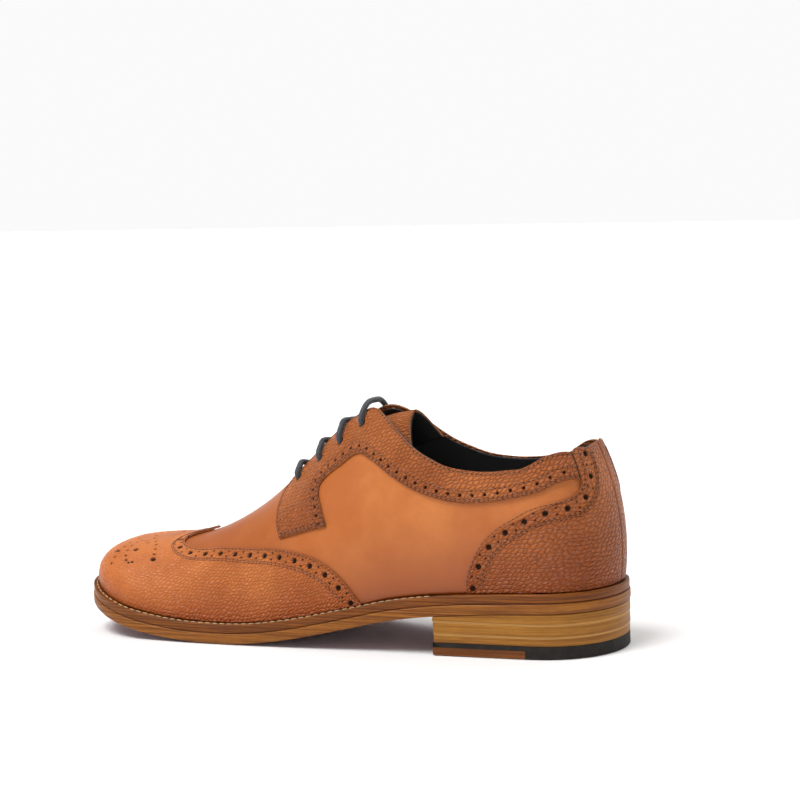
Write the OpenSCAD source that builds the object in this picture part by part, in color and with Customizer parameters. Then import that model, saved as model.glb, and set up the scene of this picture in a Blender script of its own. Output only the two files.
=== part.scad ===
// Left-foot wing-tip brogue derby shoe on a leather sole with a stacked heel.
// Millimetres, +Z up. The toe points to -X, the lateral (outer) side faces -Y, the floor is z = 0.
//
// Every upper piece is a strip of leather lying on one smooth foot surface. A place on that surface
// is given on a flat chart: the first number is the distance from the heel towards the toe, the
// second runs from 0 on the ridge line to -50 at the lateral welt and +50 at the medial welt.
// The chart's two ends are half circles of radius 50 round the heel and toe centres.

/* [Size] */
// Overall length of the outsole, heel to toe
shoe_length = 302; // [280:1:320]
// Smallest thickness of the outsole
outsole_t = 5.4; // [4.5:0.1:6.4]
// Thickness of the welt
welt_t = 4.6; // [3.6:0.1:5.4]
// Distance from the heel's back to its breast
heel_length = 87; // [80:1:92]

/* [Leather] */
// Thickness of the outer leathers
leather_t = 1.25; // [1.1:0.05:1.3]
// Thickness of the lining
lining_t = 1.0; // [0.8:0.1:1.1]
// Air gap between two neighbouring layers
layer_gap = 0.35; // [0.3:0.05:0.4]

/* [Lacing] */
// Diameter of the round lace
lace_d = 3.2; // [2.6:0.1:3.4]
// Diameter of the eyelet holes
eyelet_d = 4.2; // [3.8:0.1:4.8]

/* [Heel] */
// Thickness of the rubber top lift at its back
top_lift_t = 6.4; // [5.6:0.1:7]
// Thickness of the leather insert at the front of the top lift
insert_t = 4; // [3:0.1:4.4]
// Distance from the heel's back to the leather insert
insert_start = 38; // [34:1:56]

/* [Hidden] */

// ---- plan shape ----
base_length = 302;
grow = shoe_length / base_length;
heel_centre = 36;      // centre of the heel's fan of sections, from the back
heel_radius = 34;
toe_centre = 258;      // centre of the toe's fan of sections
toe_radius = 45;
chart_radius = 50;
centre_s = 150.6;      // the middle of the outline, from the back
centre_y = -3;         // and to the side
sections = 10;         // equal steps from the heel's back to the toe's tip
path_start = heel_centre - heel_radius * PI / 2;
path_end = toe_centre + toe_radius * PI / 2;
step = (path_end - path_start) / sections;

// Half width of the outsole and welt at each section, heel to toe
lateral_half = [36, 39.5, 43, 46, 48.5, 51, 53, 55, 55.5, 53, 44];
medial_half = [36, 36.5, 33, 30.5, 31.5, 37.5, 45.5, 49.5, 49, 45.5, 44];
// Shape of each section: height of the side, its bulge, and the flatness of the top
side_height = [0.54, 0.53, 0.51, 0.48, 0.42, 0.36, 0.30, 0.34, 0.50, 0.76, 1.0];
side_bulge = [0.22, 0.14, 0.06, 0, -0.02, 0, 0.03, 0.07, 0.09, 0.10, 0.09];
top_width = [0.56, 0.70, 0.68, 0.60, 0.54, 0.46, 0.38, 0.42, 0.62, 0.85, 1.0];
// Distance from the back, height of the ridge line, its shift to the medial side
ridge = [[0, 116, 0], [36, 123, 0], [80, 128, 0], [120, 124, 0], [146, 113.6, 2], [175, 88.8, 3],
    [205, 64.6, 3], [235, 49, 2], [262, 43.6, 1], [285, 42.4, 0], [302, 41, 0]];
// Distance from the back, height of the outsole's underside
underside = [[0, 23], [40, 22.3], [82, 20], [110, 16.5], [135, 11], [165, 4.5], [190, 0.8],
    [210, 0], [235, 1], [262, 5], [285, 11], [302, 16.5]];
// Distance from the back, how far the foot surface lies inside the welt's edge
foot_inset = [[0, 6.5], [36, 6.5], [82, 7.5], [120, 8.5], [302, 8.5]];
sole_t = outsole_t + welt_t + 0.4;

// ---- smooth curves through given points ----
function hermite(a, b, ma, mb, t) = a * (2 * t * t * t - 3 * t * t + 1) + ma * (t * t * t - 2 * t * t + t)
    + b * (3 * t * t - 2 * t * t * t) + mb * (t * t * t - t * t);
function row_below(table, x) = max(0, min(len(table) - 2, len([for (r = table) if (r[0] <= x) 1]) - 1));
// Value in one column of a table whose first column rises
function along(table, x, column = 1) =
    let (i = row_below(table, x), a = table[i], b = table[i + 1],
        before = table[max(i - 1, 0)], after = table[min(i + 2, len(table) - 1)],
        h = b[0] - a[0], t = max(0, min(1, (x - a[0]) / h)),
        ma = h * (b[column] - before[column]) / (b[0] - before[0]),
        mb = h * (after[column] - a[column]) / (after[0] - a[0]))
    hermite(a[column], b[column], ma, mb, t);
// Value at place u of a closed ring of equally spaced values
function round_ring(values, u) =
    let (n = len(values), i = floor(u), t = u - i, p = [for (k = [-1:2]) values[(i + k + 2 * n) % n]])
    hermite(p[1], p[2], (p[2] - p[0]) / 2, (p[3] - p[1]) / 2, t);
// Point at fraction t of a smooth line through chart points
function smooth_point(line, t) =
    let (n = len(line) - 1, i = min(n - 1, floor(t * n)), f = t * n - i,
        a = line[i], b = line[i + 1], before = line[max(i - 1, 0)], after = line[min(i + 2, n)])
    hermite(a, b, (b - before) / 2, (after - a) / 2, f);
function reverse(list) = [for (i = [len(list) - 1:-1:0]) list[i]];
function mirrored(line) = [for (p = line) [p[0], -p[1]]];
function joined(line) = concat(line, reverse([for (p = mirrored(line)) if (p[1] != 0) p]));

// ---- the foot surface ----
function both_sides(lateral, medial) =
    concat(lateral, [for (k = [sections - 1:-1:1]) medial[k]]);
half_ring = both_sides(lateral_half, medial_half);
height_ring = both_sides(side_height, side_height);
bulge_ring = both_sides(side_bulge, side_bulge);
top_ring = both_sides(top_width, top_width);

// Section at u: distance of its centre from the back, then its outward direction in plan
function section_frame(u) =
    let (k = u <= sections ? u : 2 * sections - u, way = u <= sections ? -1 : 1,
        s = path_start + step * k,
        turn = s < heel_centre ? (s - heel_centre) / heel_radius
            : s > toe_centre ? (s - toe_centre) / toe_radius : 0)
    [max(heel_centre, min(toe_centre, s)), sin(turn * 180 / PI), way * cos(turn * 180 / PI)];
function underside_z(s) = along(underside, s);
function place(s, y, z) = [grow * (centre_s - s), grow * (y - centre_y), z];
// Chart place to section number and height fraction
function chart_to_section(c) =
    let (centre = max(heel_centre, min(toe_centre, c[0])), d = norm([c[0] - centre, c[1]]),
        angle = atan2(abs(c[0] - centre), abs(c[1]) + 1e-9) * PI / 180,
        s = c[0] > toe_centre ? toe_centre + toe_radius * angle
            : c[0] < heel_centre ? heel_centre - heel_radius * angle : c[0],
        k = (s - path_start) / step)
    [c[1] <= 0 ? k : 2 * sections - k, 1 - d / chart_radius];
// The same chart place, pulled back onto the feather edge if it lies beyond it
function held(c) =
    let (centre = [max(heel_centre, min(toe_centre, c[0])), 0], d = norm(c - centre))
    d > chart_radius ? centre + (c - centre) * chart_radius / d : c;
function foot_point(c) =
    let (uv = chart_to_section(c), u = uv[0], v = uv[1], w = 1 - v, f = section_frame(u),
        reach = round_ring(half_ring, u) - along(foot_inset, f[0]),
        r = reach * (w * w * w + 3 * (1 + round_ring(bulge_ring, u)) * v * w * w
            + 3 * round_ring(top_ring, u) * v * v * w),
        h = 3 * round_ring(height_ring, u) * v * w * w + 3 * v * v * w + v * v * v,
        s = f[0] + r * f[1], foot_z = underside_z(f[0] + reach * f[1]) + sole_t)
    place(s, r * f[2] + along(ridge, s, 2) * h, foot_z + (along(ridge, s) - foot_z) * h);
probe = 0.3;
// Outward direction; next to the feather edge it turns level, so that no layer dips into the welt
function foot_normal(c) =
    let (n = cross(foot_point(c + [0, probe]) - foot_point(c - [0, probe]),
            foot_point(c + [probe, 0]) - foot_point(c - [probe, 0])),
        level = min(1, chart_to_section(c)[1] / 0.12),
        m = [n[0], n[1], n[2] * level])
    m / norm(m);
function over_foot(c, height) = foot_point(c) + height * foot_normal(c);

// ---- solids ----
// Two triangles for one cell of a grid
function cell(a, b, c, d, flip) = flip ? [[a, c, b], [a, d, c]] : [[a, b, c], [a, c, d]];

// A sheet of leather between two chart lines. low and high run the same way; in and out are the
// heights of its two faces over the foot surface, each a number or a list along the line. The
// last line bows by crown in its middle. Nothing dips below the welt's top.
module sheet(low, high, rows, columns, in, out, flip = false, crown = 0) {
    function height(h, i) = is_list(h) ? smooth_point(h, i / rows) : h;
    function lifted(p) = [p[0], p[1], max(p[2], underside_z(centre_s - p[0] / grow) + sole_t)];
    spots = [for (i = [0:rows]) let (a = smooth_point(low, i / rows), b = smooth_point(high, i / rows))
        for (j = [0:columns]) let (t = j / columns, bow = crown * pow(i / rows, 3) * 4 * t * (1 - t),
            c = held(a + (b - a) * t + [bow, 0])) [foot_point(c), foot_normal(c), i]];
    n = len(spots);
    w = columns + 1;
    points = concat([for (q = spots) lifted(q[0] + q[1] * height(in, q[2]))],
        [for (q = spots) lifted(q[0] + q[1] * height(out, q[2]))]);
    faces = concat(
        [for (i = [0:rows - 1]) for (j = [0:columns - 1]) let (a = i * w + j)
            each cell(a, a + w, a + w + 1, a + 1, flip)],
        [for (i = [0:rows - 1]) for (j = [0:columns - 1]) let (a = n + i * w + j)
            each cell(a, a + 1, a + w + 1, a + w, flip)],
        [for (i = [0:rows - 1]) let (a = i * w) each cell(a, a + n, a + n + w, a + w, flip)],
        [for (i = [0:rows - 1]) let (a = i * w + columns) each cell(a, a + w, a + n + w, a + n, flip)],
        [for (j = [0:columns - 1]) each cell(j, j + 1, j + 1 + n, j + n, flip)],
        [for (j = [0:columns - 1]) let (a = rows * w + j) each cell(a, a + n, a + n + 1, a + 1, flip)]);
    polyhedron(points, faces);
}

// Plan point of the outsole's edge moved inwards
function edge_point(u, inset) =
    let (f = section_frame(u), r = round_ring(half_ring, u) - inset) [f[0] + r * f[1], r * f[2]];

// A flat layer that fills the outline, between sections first and last (0 to 10), each face at its
// own height over the underside; a face with a level is flat at that height instead
module layer(inset, low, high, first = 0, last = sections, cells = 40, low_level = undef,
        high_level = undef) {
    function z_low(p) = is_undef(low_level) ? underside_z(p[0]) + low : low_level;
    function z_high(p) = is_undef(high_level) ? underside_z(p[0]) + high : high_level;
    stations = [for (k = [0:cells]) first + (last - first) * k / cells];
    lateral = [for (k = stations) edge_point(k, inset)];
    medial = [for (k = stations) edge_point(2 * sections - k, inset)];
    points = concat([for (p = lateral) place(p[0], p[1], z_low(p))],
        [for (p = medial) place(p[0], p[1], z_low(p))],
        [for (p = lateral) place(p[0], p[1], z_high(p))],
        [for (p = medial) place(p[0], p[1], z_high(p))]);
    m = cells + 1;
    // At the heel's back and the toe's tip both sides share one point
    function med(k) = (k == 0 && first == 0) || (k == cells && last == sections) ? k : m + k;
    raw = concat(
        [for (k = [0:cells - 1]) each cell(k, k + 1, med(k + 1), med(k), false)],
        [for (k = [0:cells - 1])
            each cell(2 * m + k, 2 * m + med(k), 2 * m + med(k + 1), 2 * m + k + 1, false)],
        [for (k = [0:cells - 1]) each cell(k, 2 * m + k, 2 * m + k + 1, k + 1, false)],
        [for (k = [0:cells - 1])
            each cell(med(k), med(k + 1), 2 * m + med(k + 1), 2 * m + med(k), false)],
        cell(0, med(0), 2 * m + med(0), 2 * m, false),
        cell(cells, 2 * m + cells, 2 * m + med(cells), med(cells), false));
    polyhedron(points, [for (t = raw) if (t[0] != t[1] && t[1] != t[2] && t[0] != t[2]) t]);
}

// A ring that follows the outline between two insets
module rim(outer, inner, low, high, cells = 88) {
    stations = [for (k = [0:cells - 1]) 2 * sections * k / cells];
    function ring_at(inset, h) = [for (u = stations) let (p = edge_point(u, inset))
        place(p[0], p[1], underside_z(p[0]) + h)];
    points = concat(ring_at(outer, low), ring_at(inner, low), ring_at(inner, high), ring_at(outer, high));
    faces = [for (band = [0:3]) for (k = [0:cells - 1])
        let (next = (k + 1) % cells, a = band * cells, b = ((band + 1) % 4) * cells)
        each cell(a + k, a + next, b + next, b + k, false)];
    polyhedron(points, faces);
}

// Section number where the outline's straight part is s from the back
function section_at(s) = (s - path_start) / step;

// ---- chart lines of the lateral side ----
topline = [[16, 0], [17.5, -9], [23, -18], [36, -25], [50, -27], [65, -27.6], [80, -26.8], [92, -24.6],
    [104, -21], [118, -14.2], [127, -9], [133, -6.2]];
collar_inner = [[22.4, -16.7], [36, -25], [50, -27], [65, -27.6], [80, -26.8], [92, -24.6],
    [104, -21], [118, -14.2], [133, -6.2], [146, -6], [159, -5.6], [171, -5.6], [180.5, -7],
    [186, -11.5], [186.8, -17], [184.4, -22.6], [179.8, -27.8]];
collar_outer = [[16.1, -19.9], [30, -30], [44, -32.5], [58, -33.6], [72, -33.8], [86, -32.8],
    [100, -30.4], [114, -26.6], [129, -21.2], [136.5, -19.2], [146, -19.9], [153.5, -20.1],
    [158, -21], [157.6, -23.6], [155, -26.6], [152.4, -29.4], [150, -32]];
wing_edge = [[128, -49.8], [137, -44.8], [147.5, -40.2], [163.5, -35], [180, -30.4],
    [199, -25.8], [219, -21.2], [233, -18.8], [243.5, -15.2], [249.4, -10], [248, -4.6],
    [242.5, -1.8], [236, 0]];
counter_edge = [[16, 0], [17.5, -9], [22, -16], [15.6, -19.5], [16.5, -24.6], [25, -31.6],
    [36, -35.6], [48, -38], [58, -41], [65.5, -44.6], [69, -48.6]];
vamp_outer = [[12, -25], [19, -32], [30, -37.5], [43, -40.5], [56, -45], [68, -50], [90, -50],
    [112, -50], [132, -50], [151, -45.6], [171, -40.4], [193, -35.6], [216, -31], [240, -27],
    [258, -13.5], [249, 0]];
vamp_inner = [[15, -18.5], [22, -21.5], [31, -26], [42, -29], [55, -30], [70, -30.6],
    [86, -29], [100, -26], [114, -22], [128, -18.2], [144, -18.2], [158, -18.2], [171, -18.2],
    [182, -17], [188, -10], [190, 0]];
puff_edge = [[200, -49.8], [222, -43], [240, -36], [256, -27.5], [266, -15], [260, 0]];
lining_split = [[151, -49.8], [163, -38], [175, -26], [186, -14], [192, 0]];

// The feather edge from one section to another
function feather(from, to, n = 24) = [for (i = [0:n]) let (u = from + (to - from) * i / n,
    f = section_frame(u)) [f[0] + chart_radius * f[1], chart_radius * f[2]]];

lining_out = lining_t;
stiff_in = lining_out + layer_gap;
stiff_out = stiff_in + leather_t;
cover_in = stiff_out + layer_gap;
cover_out = cover_in + leather_t;

// ---- sole ----
module outsole() { color("#6b2a2e") layer(0, 0, outsole_t, cells = 60); }
module welt() { color("#7a4a30") rim(0.3, 7.2, outsole_t + 0.2, outsole_t + 0.2 + welt_t); }

stitch_count = 120;
stitch_inset = 2.4;
stitch_start = 88;
module welt_stitches() {
    color("#e3cfa6") for (i = [0:stitch_count - 1]) {
        u = 2 * sections * i / stitch_count;
        a = edge_point(u, stitch_inset);
        b = edge_point(u + 0.02, stitch_inset);
        low = place(a[0], a[1], underside_z(a[0]) + sole_t - 0.1);
        high = place(b[0], b[1], underside_z(b[0]) + sole_t - 0.1);
        d = high - low;
        // The seam runs round the forefoot, from one side of the waist to the other
        if (a[0] > stitch_start) translate(low)
            rotate([0, -asin(d[2] / norm(d)), atan2(d[1], d[0])])
            translate([0, -0.4, 0]) cube([3.6, 0.8, 0.6]);
    }
}
module insole() { color("#c49a6c") layer(7.6, sole_t - 2.5, sole_t - 0.2, cells = 36); }
module insole_rib() { color("#b98f60") rim(8.6, 12.6, outsole_t + 0.2, sole_t - 2.7, 60); }
module cork_filler() {
    color("#a77b4b") layer(13.2, outsole_t + 0.2, sole_t - 2.7, section_at(152), sections, 24);
}
shank_half = 7;
module shank() {
    stations = [62, 80, 98, 116, 132, 148];
    low = [for (s = stations) [s, underside_z(s) + outsole_t + 0.4]];
    high = [for (p = reverse(low)) p + [0, 1.4]];
    color("silver") translate([0, shank_half - grow * centre_y, 0]) rotate([90, 0, 0])
        linear_extrude(2 * shank_half) polygon([for (p = concat(low, high)) [place(p[0], 0, 0)[0], p[1]]]);
}
module sock_lining() { color("#2a2a2a") layer(9.4, sole_t, sole_t + 1, cells = 36); }

// ---- heel ----
heel_last = section_at(heel_length);
heel_inset = 0.8;
lift_1_top = top_lift_t + 4.3;
lift_2_top = lift_1_top + 6.4;
seam = 0.05;
module heel_lift_1() {
    color("#a9763f") layer(heel_inset, 0, 0, 0, heel_last, 26,
        low_level = top_lift_t + seam, high_level = lift_1_top);
}
module heel_lift_2() {
    color("#a9763f") layer(heel_inset - 0.2, 0, 0, 0, heel_last, 26,
        low_level = lift_1_top + seam, high_level = lift_2_top);
}
module heel_lift_3() {
    color("#a9763f") layer(heel_inset - 0.4, 0, -seam, 0, heel_last, 26, low_level = lift_2_top + seam);
}
module top_lift_rubber() {
    color("#2d2a28") difference() {
        layer(heel_inset, 0, 0, 0, heel_last, 26, low_level = 0, high_level = top_lift_t);
        translate([place(heel_length + 1, 0, 0)[0], -60, -1])
            cube([grow * (heel_length + 1 - insert_start), 120, insert_t + 1]);
    }
}
module top_lift_leather() {
    color("#84502f") layer(heel_inset, 0, 0, section_at(insert_start + seam), heel_last, 8,
        low_level = 0, high_level = insert_t - seam);
}
nail_r = 0.8;
module heel_nails() {
    color("#b08d4a") for (spot = [[14, 0], [24, -20], [24, 18], [50, -26], [50, 18], [70, -24], [70, 14]])
        translate(place(spot[0], spot[1], top_lift_t - 2)) cylinder(h = 15, r = nail_r, $fn = 24);
}

// ---- upper ----
module vamp() {
    color("#c07a4c") sheet(joined(vamp_outer), joined(vamp_inner), 64, 10, stiff_in, stiff_out);
}
module wing_cap() {
    toe_line = feather(section_at(128), 2 * sections - section_at(128), 22);
    color("#b26a3c") sheet(toe_line, joined(wing_edge), 52, 10, cover_in, cover_out);
}
eyelets = [[136.5, -11.4], [149, -13], [162, -12.4], [176.5, -11.4]];
module eyelet_holes(side) {
    for (e = eyelets) {
        c = [e[0], e[1] * side];
        p = foot_point(c);
        n = foot_normal(c);
        translate(p) rotate([0, acos(n[2]), atan2(n[1], n[0])])
            translate([0, 0, -6]) cylinder(h = 16, d = eyelet_d, $fn = 20);
    }
}
function sided(line, side) = side > 0 ? line : mirrored(line);
module facing(side) {
    color("#b26a3c") difference() {
        sheet(sided(collar_outer, side), sided(collar_inner, side), 48, 4, cover_in, cover_out,
            side < 0);
        eyelet_holes(side);
    }
}
module facing_lateral() { facing(1); }
module facing_medial() { facing(-1); }
counter_seam = 0.4;
module counter(side) {
    low = feather(0.01, section_at(69), 10);
    high = concat([[16.2, -counter_seam]], [for (i = [1:10]) counter_edge[i]]);
    color("#b26a3c") sheet(sided(low, side), sided(high, side), 24, 8, cover_in, cover_out, side < 0);
}
module counter_lateral() { counter(1); }
module counter_medial() { counter(-1); }
module toe_puff() {
    color("#d9cdb8") sheet(feather(section_at(200), 2 * sections - section_at(200), 16),
        joined(puff_edge), 36, 8, stiff_in, stiff_out);
}
stiffener_edge = [[54, -48.5], [44, -42], [33, -38.6], [20, -34.6], [10, -25.5], [12, 0]];
module heel_stiffener() {
    color("#d9cdb8") sheet(reverse(feather_back(52)), reverse(joined(stiffener_edge)), 32, 8,
        stiff_in, stiff_out);
}
// The feather edge round the heel, from the lateral to the medial side
function feather_back(s) = [for (i = [0:16]) let (k = section_at(s), u = k - 2 * k * i / 16,
    v = u < 0 ? 2 * sections + u : u, f = section_frame(v))
    [f[0] + chart_radius * f[1], chart_radius * f[2]]];

// ---- lining ----
module vamp_lining() {
    color("#1e1e20") sheet(feather(section_at(151), 2 * sections - section_at(151), 20),
        joined(lining_split), 46, 9, 0, lining_out);
}
module quarter_lining(side) {
    low = feather(0.01, section_at(149), 24);
    high = concat([[16.2, -counter_seam]], [for (i = [1:11]) topline[i]],
        [[146, -6], [159, -5.8], [171, -6], [180, -8.6], [184, -14]]);
    color("#1e1e20") difference() {
        sheet(sided(low, side), sided(high, side), 34, 6, 0, lining_out, side < 0);
        eyelet_holes(side);
    }
}
module quarter_lining_lateral() { quarter_lining(1); }
module quarter_lining_medial() { quarter_lining(-1); }
stay_inner = [[131, -8], [146, -6.8], [159, -6.4], [171, -6.4], [179, -8], [183, -11.5]];
stay_outer = [[127, -17], [144, -17], [157, -17], [168, -17], [176, -16.6], [183, -14.6]];
module eyelet_stay(side) {
    color("#cfc4ae") difference() {
        sheet(sided(stay_outer, side), sided(stay_inner, side), 16, 3, stiff_in, stiff_out, side < 0);
        eyelet_holes(side);
    }
}
module eyelet_stay_lateral() { eyelet_stay(1); }
module eyelet_stay_medial() { eyelet_stay(-1); }

// ---- tongue ----
// Half outline of the tongue, from its sewn end to its top, and how deep it lies under the lining
tongue_half = [[196, -9], [186, -11.5], [175, -14.5], [160, -17], [146, -18.5], [131, -20],
    [118, -20.5], [110, -19.5]];
tongue_medial_corner = [102, 19.5];
tongue_drop = [-1, -2, -5, -5, -5, -5.4, -6, -6.5];
tongue_lining_t = 0.8;
tongue_crown = 9;   // how far the middle of the top edge lies in front of its corners
module tongue_sheet(top, thick) {
    out = [for (d = tongue_drop) d - top];
    in = [for (d = out) d - thick];
    medial = concat([for (i = [0:6]) mirrored(tongue_half)[i]], [tongue_medial_corner]);
    sheet(tongue_half, medial, 21, 10, in, out, true, tongue_crown);
}
module tongue_outer() { color("#b26a3c") tongue_sheet(0, leather_t); }
module tongue_lining() { color("#1e1e20") tongue_sheet(leather_t + layer_gap, tongue_lining_t); }

// ---- lace ----
// Route over the foot surface: distance from the heel, chart side, height. Four straight bars cross
// the gap, three hops climb inside and both ends are tucked in on the lateral side.
bar_shoulder = 6.1;
bar_middle = [5, 1.6, 1.4, 1.2];
// One bar over eyelet pair i that starts on the side from (-1 lateral, 1 medial)
function bar(i, from) =
    let (s = eyelets[i][0], y = -eyelets[i][1], h = bar_shoulder, m = bar_middle[i],
        q = m + (h - m) / 4 + 0.5)
    [for (p = [[1, -1.4], [1, 1.4], [1, 4.2], [0.9, h - 0.3], [0.7, h], [0.5, h], [0.28, q],
        [0, m], [-0.28, q], [-0.5, h], [-0.7, h], [-0.9, h - 0.3], [-1, 4.2], [-1, 1.4], [-1, -1.4]])
        [s, y * p[0] * from, p[1]]];
// The climb inside from eyelet i to the next one up
function hop(i, side) =
    let (a = eyelets[i], b = eyelets[i - 1])
    [for (t = [0.2, 0.5, 0.8]) [a[0] + (b[0] - a[0]) * t, -(a[1] + (b[1] - a[1]) * t) * side, -2.6]];
front_tail = [[208, -28, -3], [199, -24, -3], [190, -19, -3], [182.5, -14.5, -2.6]];
rear_tail = [[138, -18, -2.6], [140, -25, -3], [143, -32, -3], [147, -39, -3]];
lace_route = concat(front_tail, bar(3, -1), hop(3, 1), bar(2, 1), hop(2, -1), bar(1, -1), hop(1, 1),
    bar(0, 1), rear_tail);
lace_sides = 8;
module tube(route, radius, sides) {
    n = len(route);
    function ahead(i) = let (d = route[min(i + 1, n - 1)] - route[max(i - 1, 0)]) d / norm(d);
    function turned(v, t) = let (w = v - (v * t) * t) w / norm(w);
    across = [for (i = 0, v = turned([0.3, 0.5, 1], ahead(0)); i < n;
        i = i + 1, v = turned(v, ahead(min(i, n - 1)))) v];
    points = [for (i = [0:n - 1]) let (a = across[i], b = cross(ahead(i), a))
        for (k = [0:sides - 1]) route[i] + radius * (a * cos(360 * k / sides) + b * sin(360 * k / sides))];
    polyhedron(points, concat(
        [for (i = [0:n - 2]) for (k = [0:sides - 1])
            let (a = i * sides + k, b = i * sides + (k + 1) % sides)
            each cell(a, a + sides, b + sides, b, false)],
        [[for (k = [0:sides - 1]) k]],
        [[for (k = [sides - 1:-1:0]) (n - 1) * sides + k]]));
}
module lace() {
    color("#3b3f45") tube([for (p = lace_route) over_foot([p[0], p[1]], p[2])], lace_d / 2, lace_sides);
}

outsole();
welt();
welt_stitches();
insole();
insole_rib();
cork_filler();
shank();
heel_lift_1();
heel_lift_2();
heel_lift_3();
top_lift_rubber();
top_lift_leather();
heel_nails();
sock_lining();
vamp();
wing_cap();
facing_lateral();
facing_medial();
counter_lateral();
counter_medial();
toe_puff();
heel_stiffener();
vamp_lining();
quarter_lining_lateral();
quarter_lining_medial();
eyelet_stay_lateral();
eyelet_stay_medial();
tongue_outer();
tongue_lining();
lace();
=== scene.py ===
"""Looks for a left-foot wing-tip brogue derby shoe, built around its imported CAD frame.

Millimetres are used while shapes are worked out; mesh_piece() turns them into metres.
A place on the upper is given on the same flat chart as in the CAD model: distance from the heel
towards the toe, and 0 on the ridge line to -50 at the lateral welt and +50 at the medial one.
"""
import math

import bpy
import numpy as np
from mathutils import Matrix, Vector


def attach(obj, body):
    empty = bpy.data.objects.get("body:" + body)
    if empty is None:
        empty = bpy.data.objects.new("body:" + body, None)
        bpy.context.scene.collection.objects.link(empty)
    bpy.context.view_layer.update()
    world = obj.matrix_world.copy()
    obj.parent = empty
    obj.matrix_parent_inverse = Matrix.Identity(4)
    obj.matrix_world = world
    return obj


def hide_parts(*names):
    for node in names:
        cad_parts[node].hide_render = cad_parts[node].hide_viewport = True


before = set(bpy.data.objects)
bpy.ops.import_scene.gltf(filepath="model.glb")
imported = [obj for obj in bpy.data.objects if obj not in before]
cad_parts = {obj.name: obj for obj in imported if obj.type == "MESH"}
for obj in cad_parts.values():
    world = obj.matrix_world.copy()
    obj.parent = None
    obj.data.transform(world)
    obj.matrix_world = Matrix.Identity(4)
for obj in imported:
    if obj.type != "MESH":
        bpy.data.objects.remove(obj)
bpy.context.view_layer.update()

DETAIL = 1.0
MM = 0.001

# ---------------- plan shape and foot surface (mm)
HEEL_C, HEEL_R, TOE_C, TOE_R, CHART_R = 36.0, 34.0, 258.0, 45.0, 50.0
CENTRE_S, CENTRE_Y = 150.6, -3.0
SECTIONS = 10
PATH_START = HEEL_C - HEEL_R * math.pi / 2
PATH_END = TOE_C + TOE_R * math.pi / 2
STEP = (PATH_END - PATH_START) / SECTIONS
OUTSOLE_T, WELT_T = 5.4, 4.6
SOLE_T = OUTSOLE_T + WELT_T + 0.4
HEEL_LENGTH = 87.0
LIFT_LEVELS = (6.4, 10.7, 17.1)
LINING = (0.0, 1.0)
MIDDLE = (1.35, 2.6)
COVER = (2.95, 4.2)
# chart height over which the painted shade near the welt, partly burnish, fades out
SHADE_AND_BURNISH_HEIGHT = 0.34
GRAIN_FADE = (0.4, 2.4)
LINE_STEPS = 12
PROBE = 0.3
UPRIGHT_LEVEL = 0.12

# holes, stitch lines and rims of the upper (mm)
BROGUE_HOLE, PINHOLE_SHIFT, MEDALLION_HOLE = 1.5, 1.7, 0.8
HOLE_DEPTH, HOLE_REACH, HOLE_SLOPE, HOLE_RIM = 0.9, 1.2, 0.25, 0.10
FACING_HOLE, FACING_PITCH, ROW_END_MARGIN = 0.9, (7.6, 5.0), 1.5
EYELET_R, EYELET_DEPTH = 2.1, 1.3
COUNTER_STITCHES = (-3.8, 3.5, 4.8)
GROOVE_WIDTH, GROOVE_DEPTH = 0.5, 0.14
RIM_RADIUS = 0.55
WELT_STITCH_INSET = 2.4

LATERAL_HALF = [36, 39.5, 43, 46, 48.5, 51, 53, 55, 55.5, 53, 44]
MEDIAL_HALF = [36, 36.5, 33, 30.5, 31.5, 37.5, 45.5, 49.5, 49, 45.5, 44]
SIDE_HEIGHT = [0.54, 0.53, 0.51, 0.48, 0.42, 0.36, 0.30, 0.34, 0.50, 0.76, 1.0]
SIDE_BULGE = [0.22, 0.14, 0.06, 0, -0.02, 0, 0.03, 0.07, 0.09, 0.10, 0.09]
TOP_WIDTH = [0.56, 0.70, 0.68, 0.60, 0.54, 0.46, 0.38, 0.42, 0.62, 0.85, 1.0]
RIDGE = np.array([[0, 116, 0], [36, 123, 0], [80, 128, 0], [120, 124, 0], [146, 113.6, 2], [175, 88.8, 3],
                  [205, 64.6, 3], [235, 49, 2], [262, 43.6, 1], [285, 42.4, 0], [302, 41, 0]], float)
UNDERSIDE = np.array([[0, 23], [40, 22.3], [82, 20], [110, 16.5], [135, 11], [165, 4.5], [190, 0.8],
                      [210, 0], [235, 1], [262, 5], [285, 11], [302, 16.5]], float)
FOOT_INSET = np.array([[0, 6.5], [36, 6.5], [82, 7.5], [120, 8.5], [302, 8.5]], float)


def hermite(a, b, ma, mb, t):
    return (a * (2 * t**3 - 3 * t**2 + 1) + ma * (t**3 - 2 * t**2 + t)
            + b * (3 * t**2 - 2 * t**3) + mb * (t**3 - t**2))


def along(table, x, column=1):
    """Value in one column of a table at x, on a smooth curve through its rows."""
    x = np.asarray(x, float)
    xs, v = table[:, 0], table[:, column]
    i = np.clip(np.searchsorted(xs, x, side="right") - 1, 0, len(xs) - 2)
    before, after = np.maximum(i - 1, 0), np.minimum(i + 2, len(xs) - 1)
    h = xs[i + 1] - xs[i]
    t = np.clip((x - xs[i]) / h, 0, 1)
    ma = h * (v[i + 1] - v[before]) / (xs[i + 1] - xs[before])
    mb = h * (v[after] - v[i]) / (xs[after] - xs[i])
    return hermite(v[i], v[i + 1], ma, mb, t)


def round_ring(values, u):
    values = np.asarray(values, float)
    u = np.asarray(u, float)
    i = np.floor(u).astype(int)
    p = [values[(i + k) % len(values)] for k in (-1, 0, 1, 2)]
    return hermite(p[1], p[2], (p[2] - p[0]) / 2, (p[3] - p[1]) / 2, u - i)


def both_sides(lateral, medial):
    return list(lateral) + [medial[k] for k in range(SECTIONS - 1, 0, -1)]


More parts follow.
